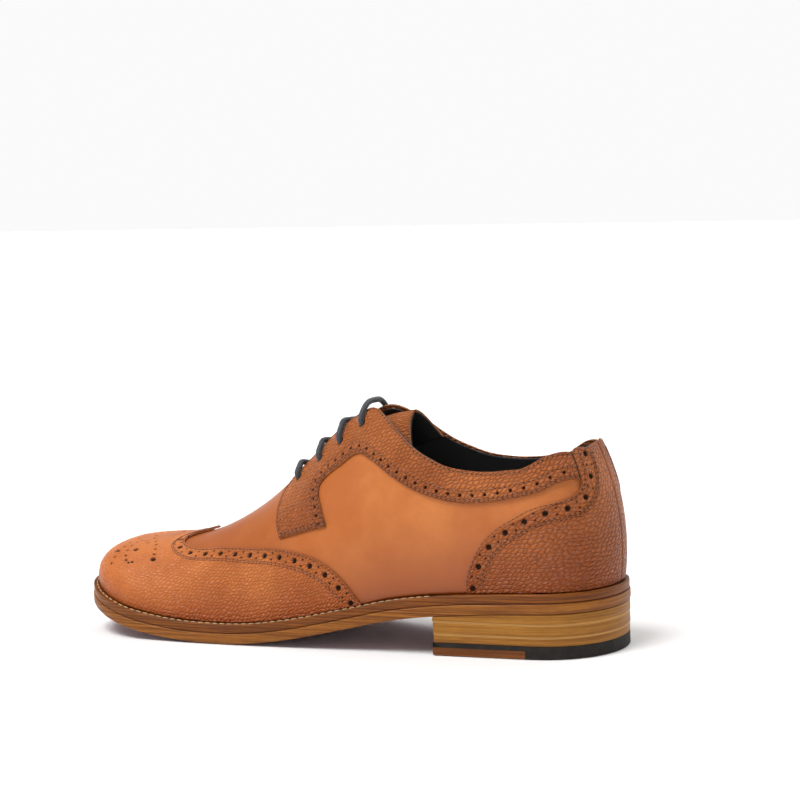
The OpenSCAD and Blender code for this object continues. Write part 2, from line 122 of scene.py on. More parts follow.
HALF = both_sides(LATERAL_HALF, MEDIAL_HALF)
HEIGHT = both_sides(SIDE_HEIGHT, SIDE_HEIGHT)
BULGE = both_sides(SIDE_BULGE, SIDE_BULGE)
TOP = both_sides(TOP_WIDTH, TOP_WIDTH)


def section_frame(u):
    """Centre of section u and its outward direction in plan."""
    u = np.asarray(u, float)
    k = np.where(u <= SECTIONS, u, 2 * SECTIONS - u)
    side = np.where(u <= SECTIONS, -1.0, 1.0)
    s = PATH_START + STEP * k
    turn = np.where(s < HEEL_C, (s - HEEL_C) / HEEL_R, np.where(s > TOE_C, (s - TOE_C) / TOE_R, 0.0))
    return np.clip(s, HEEL_C, TOE_C), np.sin(turn), side * np.cos(turn)


def underside_z(s):
    return along(UNDERSIDE, s)


def place(s, y, z):
    s, y, z = np.broadcast_arrays(np.asarray(s, float), y, z)
    return np.stack([CENTRE_S - s, y - CENTRE_Y, z], -1)


def section_at(s):
    return (s - PATH_START) / STEP


def edge_point(u, inset):
    """Plan point (s, y) of the outsole's edge, moved inwards."""
    c, ds, dy = section_frame(u)
    r = round_ring(HALF, u) - inset
    return c + r * ds, r * dy


def chart_to_section(c):
    x, y = c[..., 0], c[..., 1]
    centre = np.clip(x, HEEL_C, TOE_C)
    angle = np.arctan2(np.abs(x - centre), np.abs(y) + 1e-9)
    s = np.where(x > TOE_C, TOE_C + TOE_R * angle, np.where(x < HEEL_C, HEEL_C - HEEL_R * angle, x))
    k = (s - PATH_START) / STEP
    return np.where(y <= 0, k, 2 * SECTIONS - k), 1 - np.hypot(x - centre, y) / CHART_R


def held(c):
    """The same chart place, pulled back onto the feather edge if it lies beyond it."""
    centre = np.stack([np.clip(c[..., 0], HEEL_C, TOE_C), np.zeros(c.shape[:-1])], -1)
    d = np.linalg.norm(c - centre, axis=-1, keepdims=True)
    return np.where(d > CHART_R, centre + (c - centre) * CHART_R / np.maximum(d, 1e-9), c)


def foot_point(c):
    u, v = chart_to_section(c)
    w = 1 - v
    mid, ds, dy = section_frame(u)
    reach = round_ring(HALF, u) - along(FOOT_INSET, mid)
    r = reach * (w**3 + 3 * (1 + round_ring(BULGE, u)) * v * w**2 + 3 * round_ring(TOP, u) * v**2 * w)
    h = 3 * round_ring(HEIGHT, u) * v * w**2 + 3 * v**2 * w + v**3
    s = mid + r * ds
    foot_z = underside_z(mid + reach * ds) + SOLE_T
    return place(s, r * dy + along(RIDGE, s, 2) * h, foot_z + (along(RIDGE, s) - foot_z) * h)


def foot_normal(c):
    """Outward direction; it lies flat at the welt, so that sheets stand straight on it."""
    a, b = np.array([PROBE, 0.0]), np.array([0.0, PROBE])
    n = np.cross(foot_point(c + b) - foot_point(c - b), foot_point(c + a) - foot_point(c - a))
    n = n / np.maximum(np.linalg.norm(n, axis=-1, keepdims=True), 1e-9)
    n[..., 2] *= np.clip(chart_to_section(c)[1] / UPRIGHT_LEVEL, 0, 1)
    return n / np.maximum(np.linalg.norm(n, axis=-1, keepdims=True), 1e-9)


def lifted(points):
    """The same points, none of them below the welt's top."""
    points[..., 2] = np.maximum(points[..., 2], underside_z(CENTRE_S - points[..., 0]) + SOLE_T)
    return points


def over_foot(c, height):
    c = np.asarray(c, float)
    return foot_point(c) + np.asarray(height)[..., None] * foot_normal(c)


def smooth_line(points, count):
    """count + 1 places at equal parameter steps on a smooth line through the points."""
    p = np.asarray(points, float)
    n = len(p) - 1
    t = np.linspace(0, 1, count + 1) * n
    i = np.minimum(n - 1, np.floor(t).astype(int))
    f = (t - i)[:, None] if p.ndim > 1 else t - i
    before, after = p[np.maximum(i - 1, 0)], p[np.minimum(i + 2, n)]
    return hermite(p[i], p[i + 1], (p[i + 1] - before) / 2, (after - p[i]) / 2, f)


def run_length(points):
    """Length along a polyline, at each of its points."""
    return np.r_[0, np.cumsum(np.linalg.norm(np.diff(points, axis=0), axis=1))]


def at_lengths(t, lengths, values):
    """Values of a polyline, one row per point, at the lengths t along it."""
    return np.stack([np.interp(t, lengths, values[:, k]) for k in range(values.shape[1])], -1)


def even_line(points, count):
    """The same line with places at equal lengths along it."""
    p = smooth_line(points, LINE_STEPS * (len(points) - 1))
    d = run_length(p)
    return at_lengths(np.linspace(0, d[-1], count + 1), d, p)


def mirrored(line):
    return [(p[0], -p[1]) for p in line]


def joined(line):
    return list(line) + [p for p in mirrored(line)[::-1] if p[1] != 0]


def feather(start, end, count):
    """Chart line along the welt, between two sections."""
    u = np.linspace(start, end, count + 1)
    mid, ds, dy = section_frame(u % (2 * SECTIONS))
    return np.stack([mid + CHART_R * ds, CHART_R * dy], -1)


def heel_feather(front, count, side):
    """The feather line of one side, from the back seam forward to a distance from the heel."""
    return feather(0.01, section_at(front), count) * [1, -side]


# ---------------- chart lines, as in the CAD model
TOPLINE = [(16, 0), (17.5, -9), (23, -18), (36, -25), (50, -27), (65, -27.6), (80, -26.8), (92, -24.6),
           (104, -21), (118, -14.2), (127, -9), (133, -6.2)]
COLLAR_INNER = [(22.4, -16.7), *TOPLINE[3:10], (133, -6.2), (146, -6), (159, -5.6), (171, -5.6),
                (180.5, -7), (186, -11.5), (186.8, -17), (184.4, -22.6), (179.8, -27.8)]
COLLAR_OUTER = [(16.1, -19.9), (30, -30), (44, -32.5), (58, -33.6), (72, -33.8), (86, -32.8), (100, -30.4),
                (114, -26.6), (129, -21.2), (136.5, -19.2), (146, -19.9), (153.5, -20.1), (158, -21),
                (157.6, -23.6), (155, -26.6), (152.4, -29.4), (150, -32)]
WING_EDGE = [(128, -49.8), (137, -44.8), (147.5, -40.2), (163.5, -35), (180, -30.4), (199, -25.8),
             (219, -21.2), (233, -18.8), (243.5, -15.2), (249.4, -10), (248, -4.6), (242.5, -1.8), (236, 0)]
COUNTER_EDGE = [(16.2, -0.4), (17.5, -9), (22, -16), (15.6, -19.5), (16.5, -24.6), (25, -31.6),
                (36, -35.6), (48, -38), (58, -41), (65.5, -44.6), (69, -48.6)]
VAMP_OUTER = [(12, -25), (19, -32), (30, -37.5), (43, -40.5), (56, -45), (68, -50), (90, -50),
              (112, -50), (132, -50), (151, -45.6), (171, -40.4), (193, -35.6), (216, -31), (240, -27),
              (258, -13.5), (249, 0)]
VAMP_INNER = [(15, -18.5), (22, -21.5), (31, -26), (42, -29), (55, -30), (70, -30.6), (86, -29), (100, -26),
              (114, -22), (128, -18.2), (144, -18.2), (158, -18.2), (171, -18.2), (182, -17), (188, -10),
              (190, 0)]
BAR_TACK = [(184.6, -20.6), (179, -20.8), (174.6, -20.8), (174.4, -22.4), (178.4, -22.8), (183, -22.9)]
COUNTER_ROW = [(17.5, -12.3), (12.8, -15), (11.8, -19.5), (14.5, -25.5), (21, -31), (29, -34.6),
               (38, -37), (48, -39.2), (57, -42), (63.2, -46), (65.6, -49)]
LINING_SPLIT = [(151, -49.8), (163, -38), (175, -26), (186, -14), (192, 0)]
TONGUE_HALF = [(196, -9), (186, -11.5), (175, -14.5), (160, -17), (146, -18.5), (131, -20),
               (118, -20.5), (110, -19.5)]
TONGUE_MEDIAL_CORNER = (102, 19.5)
TONGUE_CROWN = 9.0
TONGUE_DROP = [-1, -2, -5, -5, -5, -5.4, -6, -6.5]
EYELETS = [(136.5, -11.4), (149, -13), (162, -12.4), (176.5, -11.4)]


# ---------------- mesh helpers
def mesh_piece(name, points, faces, materials, attributes=None, indices=None):
    """A Blender object from points in mm; every face is a list of point numbers."""
    mesh = bpy.data.meshes.new(name)
    faces = faces if isinstance(faces, list) else faces.tolist()
    mesh.from_pydata((np.asarray(points) * MM).tolist(), [], faces)
    for label, values in (attributes or {}).items():
        layer = mesh.attributes.new(label, "FLOAT", "POINT")
        layer.data.foreach_set("value", np.asarray(values, np.float32).ravel())
    for material in materials:
        mesh.materials.append(material)
    if indices is not None:
        mesh.polygons.foreach_set("material_index", np.asarray(indices, np.int32))
    mesh.polygons.foreach_set("use_smooth", np.full(len(mesh.polygons), True))
    mesh.update()
    obj = bpy.data.objects.new(name, mesh)
    bpy.context.scene.collection.objects.link(obj)
    return obj


def grid_faces(rows, columns, offset=0, flip=False):
    """Quads of a (rows + 1) by (columns + 1) grid of points."""
    i, j = np.meshgrid(np.arange(rows), np.arange(columns), indexing="ij")
    a = (offset + i * (columns + 1) + j).ravel()
    quad = np.stack([a, a + columns + 1, a + columns + 2, a + 1], -1)
    return quad[:, ::-1] if flip else quad


def ring_quads(rings, around):
    """Quads between closed rings of points: (here, next, above next, above here)."""
    i, k = np.meshgrid(np.arange(rings), np.arange(around), indexing="ij")
    a, b = (i * around + k).ravel(), (i * around + (k + 1) % around).ravel()
    return np.stack([a, b, b + around, a + around], -1)


def cumulative(points, axis):
    """Length along one axis of a grid of points."""
    d = np.linalg.norm(np.diff(points, axis=axis), axis=-1)
    zero = np.zeros_like(np.take(d, [0], axis=axis))
    return np.cumsum(np.concatenate([zero, d], axis=axis), axis=axis)


def nearest(points, targets, reach):
    """Distance from each point to the nearest target, or a large number beyond reach."""
    best = np.full(len(points), reach * 10.0)
    order = np.argsort(points[:, 0])
    xs = points[order, 0]
    for t in targets:
        lo, hi = np.searchsorted(xs, [t[0] - reach, t[0] + reach])
        part = order[lo:hi]
        d = np.linalg.norm(points[part] - t, axis=1)
        closer = d < best[part]
        best[part[closer]] = d[closer]
    return best


def step_up(x, low, high):
    t = np.clip((x - low) / (high - low), 0, 1)
    return t * t * (3 - 2 * t)


class Sheet:
    """A sheet of leather between two chart lines, which are low and high, of equal parameters."""

    def __init__(self, low, high, rows, columns, inner, outer, flip=False, crown=0.0):
        rows, columns = max(8, int(rows * DETAIL)), max(4, int(columns * DETAIL))
        self.rows, self.columns, self.flip = rows, columns, flip
        a = smooth_line(low, rows)[:, None]
        b = smooth_line(high, rows)[:, None]
        t = np.linspace(0, 1, columns + 1)[None, :, None]
        bow = crown * np.linspace(0, 1, rows + 1)[:, None] ** 3 * 4 * t[..., 0] * (1 - t[..., 0])
        self.chart = held(a + (b - a) * t + np.stack([bow, np.zeros_like(bow)], -1))
        self.base = foot_point(self.chart)
        self.normal = foot_normal(self.chart)
        self.inner = self.spread(inner)
        self.outer = self.spread(outer)
        self.top = lifted(self.base + self.normal * self.outer[..., None])
        across, down = cumulative(self.top, 1), cumulative(self.top, 0)
        self.from_low, self.from_high = across, across[:, -1:] - across
        self.from_end = down[-1:] - down
        self.border = np.minimum(np.minimum(self.from_low, self.from_high), np.minimum(down, self.from_end))
        self.relief = np.zeros_like(self.outer)
        self.hole = np.zeros_like(self.outer)

    def spread(self, height):
        if np.ndim(height):
            return np.repeat(smooth_line(height, self.rows)[:, None], self.columns + 1, axis=1)
        return np.full((self.rows + 1, self.columns + 1), float(height))

    def line_at(self, edge, inset):
        """A line at a constant distance inside one edge, as points in mm, and its normals."""
        m = {"low": self.from_low, "high": self.from_high, "end": self.from_end}[edge]
        grid = [m, self.top, self.normal]
        if edge == "end":
            grid = [np.swapaxes(g, 0, 1) for g in grid]
        if edge != "low":
            grid = [g[:, ::-1] for g in grid]
        m = grid.pop(0)
        k = np.array([np.searchsorted(row, inset) for row in m]).clip(1, m.shape[1] - 1)
        i = np.arange(len(m))
        f = ((inset - m[i, k - 1]) / np.maximum(m[i, k] - m[i, k - 1], 1e-9)).clip(0, 1)[:, None]
        points, normals = [g[i, k - 1] * (1 - f) + g[i, k] * f for g in grid]
        short = m[:, -1] < inset * 1.6
        return points[~short], normals[~short]

    def punch(self, centres, radius, depth=HOLE_DEPTH):
        """Sinks a round brogue hole at each centre."""
        d = nearest(self.top.reshape(-1, 3), centres, radius + HOLE_REACH).reshape(self.outer.shape)
        self.relief -= depth * (1 - step_up(d, radius - HOLE_SLOPE, radius + HOLE_SLOPE))
        self.relief += HOLE_RIM * np.exp(-((d - radius - 0.5) / 0.35) ** 2)
        # hole mask: where the leather materials paint the shade inside the hole
        self.hole = np.maximum(self.hole, 1 - step_up(d, radius - 0.3, radius + 0.22))

    def groove(self, points):
        """Presses in the line that a row of stitches pulls down."""
        d = nearest(self.top.reshape(-1, 3), resample(points, 0.6), GROOVE_WIDTH * 2.2)
        self.relief -= (GROOVE_DEPTH * np.exp(-(d / GROOVE_WIDTH) ** 2)).reshape(self.outer.shape)

    def build(self, node, kind, materials, slot, body="shoe"):
        """Makes the closed sheet in place of a CAD node; its outer face carries the relief."""
        r = RIM_RADIUS
        x = np.clip(self.border, 0, r)
        drop = r - np.sqrt(np.maximum(r * r - (r - x) ** 2, 0))
        outer = lifted(self.base + self.normal * (self.outer - drop + self.relief)[..., None])
        inner = lifted(self.base + self.normal * self.inner[..., None])
        rows, columns = self.rows, self.columns
        n = (rows + 1) * (columns + 1)
        w = columns + 1
        faces = [grid_faces(rows, columns, 0, self.flip), grid_faces(rows, columns, n, not self.flip)]
        i, j = np.arange(rows), np.arange(columns)
        side = [np.stack([i * w, i * w + n, (i + 1) * w + n, (i + 1) * w], -1),
                np.stack([i * w + columns, (i + 1) * w + columns, (i + 1) * w + columns + n,
                          i * w + columns + n], -1),
                np.stack([j, j + 1, j + 1 + n, j + n], -1),
                np.stack([rows * w + j, rows * w + j + n, rows * w + j + 1 + n, rows * w + j + 1], -1)]
        faces += [s[:, ::-1] if self.flip else s for s in side]
        two_faces, rim_faces = 2 * rows * columns, 2 * (rows + columns)
        index = np.r_[np.zeros(two_faces), np.full(rim_faces, min(1, len(materials) - 1))]
        points = np.concatenate([inner.reshape(-1, 3), outer.reshape(-1, 3)])
        hole = np.r_[np.zeros(n), self.hole.ravel()]
        edge = np.r_[np.zeros(n), np.exp(-self.border.ravel() / 1.6)]
        round_it, up = grain_place(self.chart)
        # low: painted shade, partly burnish, strongest at the welt and fading out up the upper
        attributes = {"low": 1 - step_up(chart_to_section(self.chart)[1], 0.0, SHADE_AND_BURNISH_HEIGHT),
                      "grain_u": round_it, "grain_v": up,
                      "grain_amount": step_up(np.abs(self.chart[..., 1]), *GRAIN_FADE)}
        attributes = {key: np.tile(value.ravel(), 2) for key, value in attributes.items()}
        obj = mesh_piece(node + "_" + kind, points, np.concatenate(faces), [M[key] for key in materials],
                         {"hole": hole, "edge": edge, **attributes}, index)
        finish_piece(obj, body, slot, node)


def grain_tables(sections=240, levels=40, level_of_length=6):
    """Lengths over the foot, round it and up it, on an even grid of sections and levels."""
    u, v = np.linspace(0, 2 * SECTIONS, sections + 1), np.linspace(0, 1, levels + 1)
    mid, ds, dy = [g[:, None] for g in section_frame(u)]
    reach = CHART_R * (1 - v)[None, :]
    points = foot_point(np.stack([mid + reach * ds, reach * dy], -1))
    up = cumulative(points, 1)
    round_it = cumulative(points[:, level_of_length:level_of_length + 1], 0)[:, 0]
    return u, v, round_it, up


GRAIN_TABLES = grain_tables()


def grain_place(chart):
    """Flat coordinates of a chart place, in metres, for the printed grain."""
    u, v, round_it, up = GRAIN_TABLES
    section, level = chart_to_section(chart)
    i = np.clip(section / u[-1] * (len(u) - 1), 0, len(u) - 1.001)
    j = np.clip(level, 0, 0.999) * (len(v) - 1)
    i0, j0 = i.astype(int), j.astype(int)
    fi, fj = i - i0, j - j0
    height = (up[i0, j0] * (1 - fi) * (1 - fj) + up[i0 + 1, j0] * fi * (1 - fj)
              + up[i0, j0 + 1] * (1 - fi) * fj + up[i0 + 1, j0 + 1] * fi * fj)
    return np.interp(section, u, round_it) * MM, height * MM


def resample(points, pitch):
    """Places at equal lengths along a polyline, as near pitch apart as fits."""
    d = run_length(points)
    return at_lengths(np.linspace(0, d[-1], max(2, int(round(d[-1] / pitch)) + 1)), d, points)


def lozenge(length, radius, sides=6):
    """Points and faces of a small rounded stitch along x."""
    rings = [(-0.5, 0.0), (-0.42, 0.55), (-0.22, 0.95), (0.0, 1.05), (0.22, 0.95), (0.42, 0.55), (0.5, 0.0)]
    points = []
    for x, r in rings:
        for k in range(sides):
            a = 2 * math.pi * k / sides
            around = max(r, 0.12) * radius
            points.append((x * length, around * math.cos(a), around * math.sin(a)))
    caps = [list(range(sides))[::-1], list(range(len(points) - sides, len(points)))]
    return np.array(points), ring_quads(len(rings) - 1, sides).tolist() + caps


def stitches(name, runs, material, body, slot, pitch=2.6, length=1.9, radius=0.26, sink=0.05, shift=0.5):
    """Rows of stitches: each run is (points, normals) of a line on the leather."""
    shape, shape_faces = lozenge(length, radius)
    all_points, faces, offset = [], [], 0
    for points, normals in runs:
        both = np.concatenate([points, normals], axis=1)
        d = run_length(points)
        if d[-1] < pitch * 2:
            continue
        count = int(d[-1] / pitch)
        t = (np.arange(count) + shift) * d[-1] / count
        spot = at_lengths(t, d, both)
        ahead = (at_lengths(np.minimum(t + PROBE, d[-1]), d, points)
                 - at_lengths(np.maximum(t - PROBE, 0), d, points))
        ahead /= np.linalg.norm(ahead, axis=1, keepdims=True)
        up = spot[:, 3:] - (spot[:, 3:] * ahead).sum(1, keepdims=True) * ahead
        up /= np.linalg.norm(up, axis=1, keepdims=True)
        side = np.cross(up, ahead)
        centre = spot[:, :3] - up * sink
        p = (centre[:, None] + shape[None, :, :1] * ahead[:, None] + shape[None, :, 1:2] * side[:, None]
             + shape[None, :, 2:] * up[:, None])
        all_points.append(p.reshape(-1, 3))
        for _ in range(count):
            faces += [[offset + q for q in face] for face in shape_faces]
            offset += len(shape)
    obj = mesh_piece(name, np.concatenate(all_points), faces, [material])
    finish_piece(obj, body, slot)
    return obj


def finish_piece(obj, body, slot, *nodes):
    """Rides a piece on its body and hides the CAD nodes it stands for; its slot is not used."""
    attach(obj, body)
    if nodes:
        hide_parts(*nodes)
    return obj


# ---------------- sole pieces
def plan_loop(inset, last=None, count=220):
    """Closed plan loop at an inset: the whole outline, or the heel part back to a straight breast."""
    count = int(count * DETAIL)
    end = SECTIONS if last is None else section_at(last)
    u = end * np.linspace(0, 1, count + 1)
    lateral, medial = [np.stack(edge_point(way, inset), -1) for way in (u, 2 * SECTIONS - u)]
    if last is None:
        return np.r_[lateral, medial[-2:0:-1]], count
    for half in (lateral, medial):
        half[:, 0] = np.minimum(half[:, 0], last - inset)
    return np.r_[lateral, medial[:0:-1]], count


def layer(name, profile, materials, bands, last=None):
    """A filled layer. profile lists (inset, height function of s); bands gives each band's material."""
    rings = []
    for inset, height in profile:
        loop, count = plan_loop(inset, last)
        rings.append(place(loop[:, 0], loop[:, 1], height(loop[:, 0])))
    m = len(rings[0])
    faces = ring_quads(len(profile) - 1, m)[:, ::-1].tolist()
    index = np.repeat(bands[:len(profile) - 1], m).tolist()

    def across(ring, flip, band):
        base = ring * m
        for k in range(count):
            low, high = k, k + 1
            med = (m - low) % m, (m - high) % m
            quad = [base + low, base + high, base + med[1], base + med[0]]
            clean = [q for i, q in enumerate(quad) if q not in quad[:i]]
            if len(clean) >= 3:
                faces.append(clean if flip else clean[::-1])
                index.append(band)

    across(0, True, bands[-2])
    across(len(profile) - 1, False, bands[-1])
    return mesh_piece(name, np.concatenate(rings), faces, materials, indices=index)


def rim(name, profile, material, count=520):
    """A closed ring round the outline; profile is a closed list of (inset, height function)."""
    count = int(count * DETAIL)
    u = 2 * SECTIONS * np.arange(count) / count
    rings = []
    for inset, height in profile:
        s, y = edge_point(u, inset)
        rings.append(place(s, y, height(s)))
    faces = ring_quads(len(profile), count)[:, [0, 3, 2, 1]] % (len(profile) * count)
    return mesh_piece(name, np.concatenate(rings), faces, [material])


# ---------------- materials
def add_node(tree, kind, inputs=None, **settings):
    node = tree.nodes.new(kind)
    for key, value in settings.items():
        setattr(node, key, value)
    for key, value in (inputs or {}).items():
        if isinstance(value, bpy.types.NodeSocket):
            tree.links.new(value, node.inputs[key])
        else:
            node.inputs[key].default_value = value
    return node


class Finish:
    """A procedural material; colours are linear RGB and lengths are in metres."""

    def __init__(self, name, roughness, **sockets):
        self.material = bpy.data.materials.new(name)
        self.material.use_nodes = True
        self.tree = self.material.node_tree
        self.bsdf = self.tree.nodes["Principled BSDF"]
        self.bsdf.inputs["Roughness"].default_value = roughness
        for key, value in sockets.items():
            self.bsdf.inputs[key.replace("_", " ")].default_value = value
        self.coords = self.node("TexCoord", out="Object")
        self.bump = None

    def node(self, kind, inputs=None, out=0, **settings):
        """One output of a new node of this material."""
        return add_node(self.tree, "ShaderNode" + kind, inputs, **settings).outputs[out]

    def stretched(self, x, y, z):
        return self.node("Mapping", {"Vector": self.coords, "Scale": (x, y, z)})

    def noise(self, scale, detail=4.0, rough=0.55, vector=None):
        return self.node("TexNoise", {"Vector": vector or self.coords, "Scale": scale, "Detail": detail,
                                      "Roughness": rough}, "Fac")

    def cells(self, scale):
        return self.node("TexVoronoi", {"Vector": self.coords, "Scale": scale, "Randomness": 0.8},
                         "Distance", feature="DISTANCE_TO_EDGE")

    def pebbles(self, cell, feature, randomness=0.58, squash=1.15):
        """Distances of a flat cell pattern laid along the sheet, each row half a cell further on."""
        across = self.math("MULTIPLY", self.attribute("grain_u"), 1 / (cell * squash))
        up = self.math("MULTIPLY", self.attribute("grain_v"), squash / cell)
        spot = self.node("CombineXYZ", {0: self.math("ADD", across, self.math("MULTIPLY", up, 0.5)), 1: up})
        wobble = self.node("TexNoise", {"Vector": spot, "Scale": 0.22, "Detail": 1.0}, "Color")
        small = self.node("VectorMath", {0: wobble, "Scale": 1.6}, operation="SCALE")
        spot = self.node("VectorMath", {0: spot, 1: small}, operation="ADD")
        return self.node("TexVoronoi", {"Vector": spot, "Scale": 1.0, "Randomness": randomness}, "Distance",
                         feature=feature, voronoi_dimensions="2D")

    def span(self, value, low, high, to_low=0.0, to_high=1.0):
        """A value that eases from to_low at low to to_high at high."""
        return self.node("MapRange", {"Value": value, "From Min": low, "From Max": high, "To Min": to_low,
                                      "To Max": to_high}, "Result", interpolation_type="SMOOTHSTEP")

    def math(self, operation, a, b):
        return self.node("Math", {0: a, 1: b}, operation=operation)

    def attribute(self, name):
        return self.node("Attribute", out="Fac", attribute_name=name)

    def axis(self, which):
        return self.node("SeparateXYZ", {0: self.coords}, which)

    def mix(self, factor, a, b):
        node = add_node(self.tree, "ShaderNodeMix", data_type="RGBA", blend_type="MIX", clamp_factor=True)
        for key, value in ((0, factor), (6, a), (7, b)):
            if isinstance(value, bpy.types.NodeSocket):
                self.tree.links.new(value, node.inputs[key])
            elif key:
                node.inputs[key].default_value = (*value, 1.0)
            else:
                node.inputs[key].default_value = value
        return node.outputs[2]

    def paint(self, colour):
        self.tree.links.new(colour, self.bsdf.inputs["Base Color"])

    def rough(self, value):
        self.tree.links.new(value, self.bsdf.inputs["Roughness"])

    def tint(self, colour, where, amount, shade):
        """The colour with a part of a shade laid over it where a mask says so."""
        return self.mix(self.math("MULTIPLY", where, amount), colour, shade)

    def raise_by(self, height, distance, strength):
        inputs = {"Height": height, "Distance": distance, "Strength": strength}
        if self.bump is not None:
            inputs["Normal"] = self.bump
        self.bump = self.node("Bump", inputs)
        self.tree.links.new(self.bump, self.bsdf.inputs["Normal"])


# painted shade inside the brogue, medallion and eyelet holes
PAINTED_HOLE_SHADE = (0.020, 0.008, 0.004)
JOINT_PALE = (0.62, 0.36, 0.12)


def scaled(colour, factor):
    return tuple(factor * c for c in colour)


def shaded_and_burnished(colour):
    """A deeper and more saturated tone, for painted shade near the welt (partly wax burnish) and painted
    shade at the front of the vamp.
    """
    return 0.62 * colour[0], 0.46 * colour[1], 0.3 * colour[2]


def smooth_leather(name, light, dark):
    """Polished calf: soft clouding, fine pores, a darker burnish along each piece's rim, painted shade
    (partly burnish) towards the welt, and painted shade at the vamp's front.
    """
    f = Finish(name, 0.38, Specular_IOR_Level=0.36, Coat_Weight=0.12, Coat_Roughness=0.25)
    cloud = f.span(f.noise(14, 5, 0.6), 0.34, 0.66)
    fleck = f.span(f.noise(420, 3, 0.6), 0.3, 0.7)
    colour = f.mix(cloud, dark, light)
    colour = f.tint(colour, fleck, 0.18, dark)
    colour = f.tint(colour, f.attribute("edge"), 0.6, scaled(dark, 0.3))
    # painted shade towards the welt, partly burnish
    colour = f.tint(colour, f.attribute("low"), 0.85, shaded_and_burnished(dark))
    # painted shade: the front of the vamp darkened along X
    colour = f.mix(f.span(f.axis("X"), -0.07, 0.01, 0.55, 0.0), colour, shaded_and_burnished(dark))
    # painted shade inside the holes
    f.paint(f.mix(f.attribute("hole"), colour, PAINTED_HOLE_SHADE))
    f.rough(f.span(f.noise(60, 4), 0.3, 0.7, 0.34, 0.48))
    f.raise_by(f.noise(70, 3), 0.0006, 0.25)
    f.raise_by(f.noise(900, 3), 0.00012, 0.35)
    return f.material


def pebbled_leather(name, light, dark, cell=0.0024, depth=0.0010, shade=0.62, fade=None):
    """Printed pebble grain: rounded cells in loose rows, painted shade in the hollows between them, and
    painted shade (partly burnish) towards the welt.
    """
    f = Finish(name, 0.45, Specular_IOR_Level=0.28)
    near, edge = f.pebbles(cell, "F1"), f.pebbles(cell, "DISTANCE_TO_EDGE")
    dome = f.math("ADD", f.span(near, 0.0, 0.75, 0.5, 0.0), f.span(edge, 0.0, 0.3, 0.0, 0.5))
    valley_shade = f.span(edge, 0.0, 0.2, shade, 0.0)
    strength = f.attribute("grain_amount")
    if fade:
        strength = f.math("MULTIPLY", strength, f.span(f.axis("X"), *fade))
    dome, valley_shade = f.math("MULTIPLY", dome, strength), f.math("MULTIPLY", valley_shade, strength)
    fine = f.noise(1500, 3)
    cloud = f.span(f.noise(20, 5, 0.6), 0.32, 0.68)
    colour = f.mix(cloud, dark, light)
    colour = f.tint(colour, f.span(fine, 0.35, 0.7), 0.25, dark)
    # painted shade in the hollows between the pebbles
    colour = f.mix(valley_shade, colour, scaled(dark, 0.5))
    colour = f.tint(colour, f.attribute("edge"), 0.4, scaled(dark, 0.35))
    # painted shade towards the welt, partly burnish
    colour = f.tint(colour, f.attribute("low"), 0.7, shaded_and_burnished(dark))
    # painted shade inside the holes
    f.paint(f.mix(f.attribute("hole"), colour, PAINTED_HOLE_SHADE))
    f.rough(f.math("MAXIMUM", f.span(near, 0.2, 0.7, 0.36, 0.56), f.attribute("hole")))
    f.raise_by(dome, depth, 0.85)
    f.raise_by(fine, 0.00016, 0.4)
    f.raise_by(f.noise(90, 3), 0.0005, 0.3)
    return f.material


def cut_edge(name, colour, dark):
    """Raw or dyed cut edge of leather."""
    f = Finish(name, 0.6)
    f.paint(f.mix(f.span(f.noise(500, 4), 0.3, 0.7), dark, colour))
    f.raise_by(f.noise(1400, 3), 0.00015, 0.6)
    return f.material


def stacked_edge(name, light, dark, joints=()):
    """Burnished edge of sole leather: fibres run along the edge in thin strata, joints are pale lines."""
    f = Finish(name, 0.45, Specular_IOR_Level=0.2)
    layers = f.noise(1.0, 3, 0.6, f.stretched(16, 16, 1300))
    fibres = f.noise(1.0, 4, 0.6, f.stretched(160, 160, 2600))
    patches = f.span(f.noise(1.0, 4, 0.6, f.stretched(40, 40, 220)), 0.35, 0.7)
    colour = f.mix(f.span(layers, 0.35, 0.65, 0.0, 1.0), dark, light)
    colour = f.tint(colour, patches, 0.3, dark)
    colour = f.mix(f.span(fibres, 0.4, 0.8, 0.0, 0.5), colour, scaled(dark, 0.55))
    for level_mm in joints:
        gap = f.math("ABSOLUTE", f.math("SUBTRACT", f.axis("Z"), level_mm * MM), 0.0)
        colour = f.mix(f.span(gap, 0.0001, 0.0007, 0.85, 0.0), colour, JOINT_PALE)
    f.paint(colour)
    f.raise_by(layers, 0.00012, 0.4)
    f.raise_by(fibres, 0.00012, 0.4)
    return f.material


def plain_leather(name, light, dark, roughness):
    """Unpolished leather: clouded, with pores and a faint unevenness."""
    f = Finish(name, roughness)
    f.paint(f.mix(f.span(f.noise(40, 5), 0.3, 0.7), dark, light))
    f.raise_by(f.cells(900.0), 0.00015, 0.4)
    f.raise_by(f.noise(300, 4), 0.0002, 0.3)
    return f.material


def thread(name, light, dark):
    f = Finish(name, 0.5)
    twist = f.node("TexWave", {"Vector": f.coords, "Scale": 900.0, "Distortion": 3.0}, "Fac",
                   bands_direction="DIAGONAL")
    # painted shade: the twist's grooves darker than its ridges
    f.paint(f.mix(twist, dark, light))
    f.raise_by(twist, 0.0001, 0.5)
    return f.material


def rubber(name):
    f = Finish(name, 0.68, Specular_IOR_Level=0.25)
    f.paint(f.mix(f.span(f.noise(180, 5), 0.3, 0.75), (0.010, 0.008, 0.006), (0.022, 0.018, 0.014)))
    f.raise_by(f.noise(1200, 3), 0.0001, 0.5)
    return f.material


